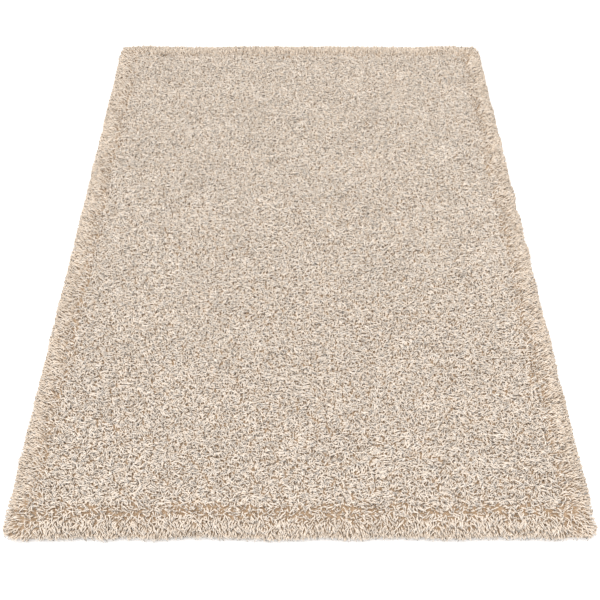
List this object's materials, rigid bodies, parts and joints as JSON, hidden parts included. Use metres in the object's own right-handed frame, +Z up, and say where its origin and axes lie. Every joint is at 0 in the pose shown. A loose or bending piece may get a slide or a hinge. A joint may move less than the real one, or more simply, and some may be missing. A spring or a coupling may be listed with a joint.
{
  "type": "shag rug",
  "caption": "Flat rectangular shag rug with a deep cut pile that leans out and rolls down over all its edges; lies on a floor.",
  "frame": {"origin": "middle of the flat underside, on the floor", "axes": "+Z up out of the pile, +Y along the rug's length, +X across its width"},
  "size_m": [1.2063, 1.708, 0.0371],
  "materials": {
    "pile_yarn": "matt cut yarn",
    "ground_cloth": "plain woven cloth, matt"
  },
  "bodies": {
    "root": {"rug": "pile_yarn"}
  },
  "joints": []
}
